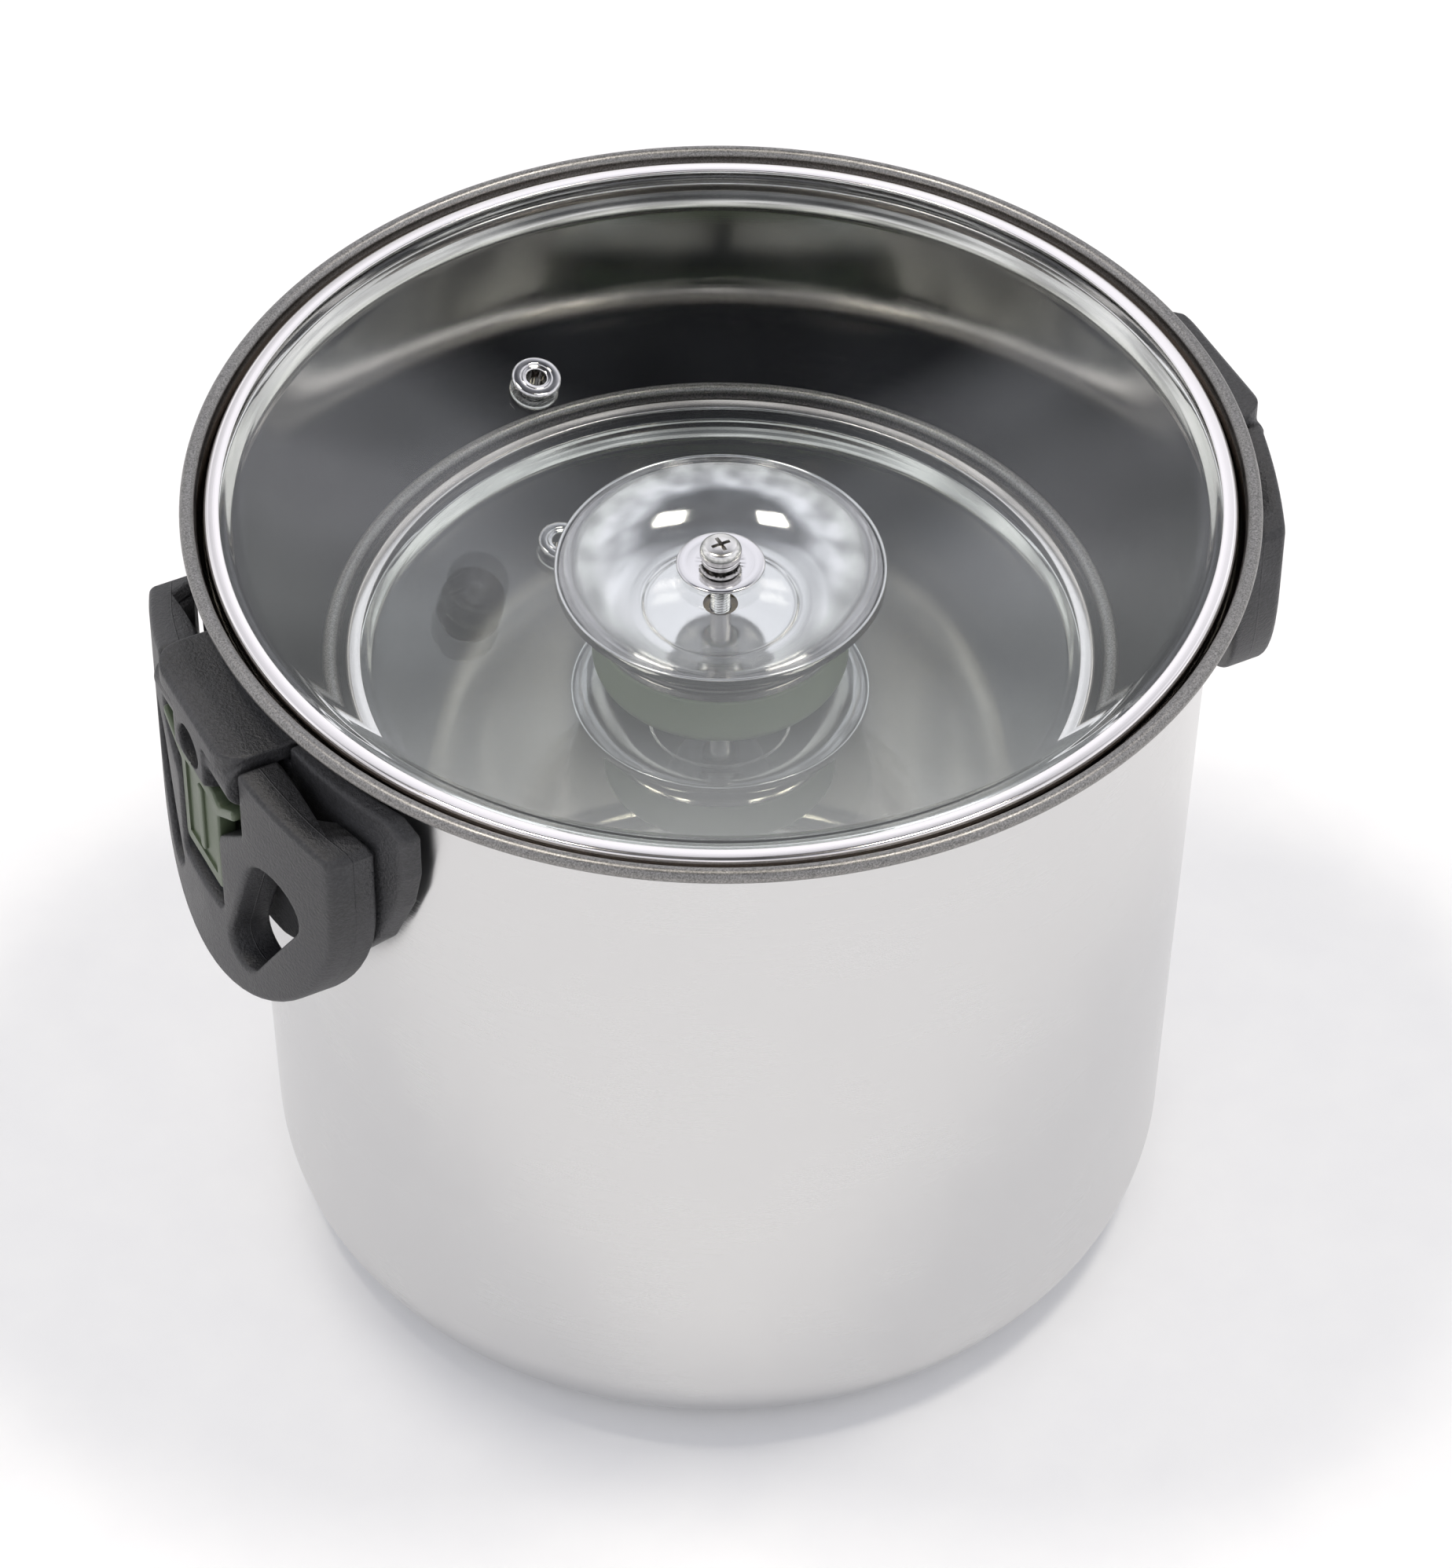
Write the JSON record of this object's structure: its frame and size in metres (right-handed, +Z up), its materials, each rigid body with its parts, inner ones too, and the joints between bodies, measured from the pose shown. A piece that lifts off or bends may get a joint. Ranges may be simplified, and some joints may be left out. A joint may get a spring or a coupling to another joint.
{
  "type": "nested stock pot set with glass lids",
  "caption": "Nested stainless stock pots, each with a glass lid stored knob down in its rim; the outer pot has fold-down side handles with sprung latches.",
  "frame": {"origin": "centre of the flat base of the outer pot, on the surface it stands on", "axes": "+Z up along the axis of the pots, X through the two side handles"},
  "size_m": [0.2596, 0.2398, 0.206],
  "materials": {
    "satin_steel": "satin stainless steel, fine turned grain",
    "polished_steel": "polished stainless steel",
    "zinc_steel": "plain bright steel fastener",
    "spring_steel": "spring steel",
    "brass": "turned brass",
    "tempered_glass": "clear tempered glass",
    "seal_silicone": "translucent silicone",
    "black_plastic": "fine textured black moulded plastic",
    "green_plastic": "sage green moulded plastic"
  },
  "bodies": {
    "outer_pot_set": {"outer_pot_floor": "satin_steel", "outer_pot_corner": "satin_steel", "outer_pot_wall": "satin_steel", "outer_pot_seat": "satin_steel", "outer_pot_rim_1": "satin_steel", "outer_pot_rim_2": "satin_steel", "outer_pot_rim_3": "satin_steel", "outer_pot_rim_4": "satin_steel", "left_weld_plate": "zinc_steel", "left_rear_guard": "black_plastic", "left_mount_block": "black_plastic", "left_mount_screw": "zinc_steel", "left_hinge_pin_a": "zinc_steel", "left_hinge_pin_b": "zinc_steel", "right_weld_plate": "zinc_steel", "right_rear_guard": "black_plastic", "right_mount_block": "black_plastic", "right_mount_screw": "zinc_steel", "right_hinge_pin_a": "zinc_steel", "right_hinge_pin_b": "zinc_steel"},
    "inner_pot_body": {"inner_pot_floor": "satin_steel", "inner_pot_corner": "satin_steel", "inner_pot_wall": "satin_steel", "inner_pot_seat": "satin_steel", "inner_pot_rim": "satin_steel"},
    "inner_lid": {"inner_lid_band": "polished_steel", "inner_lid_glass": "tempered_glass", "inner_vent_eyelet": "polished_steel", "inner_vent_washer": "zinc_steel", "inner_knob_dish": "polished_steel", "inner_knob_collar": "polished_steel", "inner_knob_grip": "green_plastic", "inner_knob_insert": "brass", "inner_knob_screw": "zinc_steel", "inner_spring_washer": "spring_steel", "inner_flat_washer": "polished_steel", "inner_lid_seal": "seal_silicone"},
    "outer_lid": {"outer_lid_band": "polished_steel", "outer_lid_glass": "tempered_glass", "outer_vent_eyelet": "polished_steel", "outer_vent_washer": "zinc_steel", "outer_knob_dish": "polished_steel", "outer_knob_collar": "polished_steel", "outer_knob_grip": "green_plastic", "outer_knob_insert": "brass", "outer_knob_screw": "zinc_steel", "outer_spring_washer": "spring_steel", "outer_flat_washer": "polished_steel", "outer_lid_seal": "seal_silicone"},
    "left_handle_body": {"left_handle": "black_plastic", "left_latch_spring": "spring_steel"},
    "left_latch_body": {"left_latch": "green_plastic"},
    "right_handle_body": {"right_handle": "black_plastic", "right_latch_spring": "spring_steel"},
    "right_latch_body": {"right_latch": "green_plastic"}
  },
  "joints": [
    {"name": "inner_pot_lift", "type": "slide", "parent": "outer_pot_set", "child": "inner_pot_body", "axis": [0, 0, 1], "range_m": [0, 0.23]},
    {"name": "inner_lid_lift", "type": "slide", "parent": "inner_pot_body", "child": "inner_lid", "axis": [0, 0, 1], "range_m": [0, 0.12]},
    {"name": "outer_lid_lift", "type": "slide", "parent": "inner_lid", "child": "outer_lid", "axis": [0, 0, 1], "range_m": [0, 0.08]},
    {"name": "left_handle_fold", "type": "hinge", "parent": "outer_pot_set", "child": "left_handle_body", "pos_m": [-0.123, 0, 0.1855], "axis": [0, 1, 0], "range_deg": [0, 90]},
    {"name": "left_latch_slide", "type": "slide", "parent": "left_handle_body", "child": "left_latch_body", "axis": [0, 0, -1], "range_m": [0, 0.0035], "stiffness_N_per_m": 300, "springref_m": -0.003, "deforming": ["left_latch_spring"]},
    {"name": "right_handle_fold", "type": "hinge", "parent": "outer_pot_set", "child": "right_handle_body", "pos_m": [0.123, 0, 0.1855], "axis": [0, -1, 0], "range_deg": [0, 90]},
    {"name": "right_latch_slide", "type": "slide", "parent": "right_handle_body", "child": "right_latch_body", "axis": [0, 0, -1], "range_m": [0, 0.0035], "stiffness_N_per_m": 300, "springref_m": -0.003, "deforming": ["right_latch_spring"]}
  ]
}
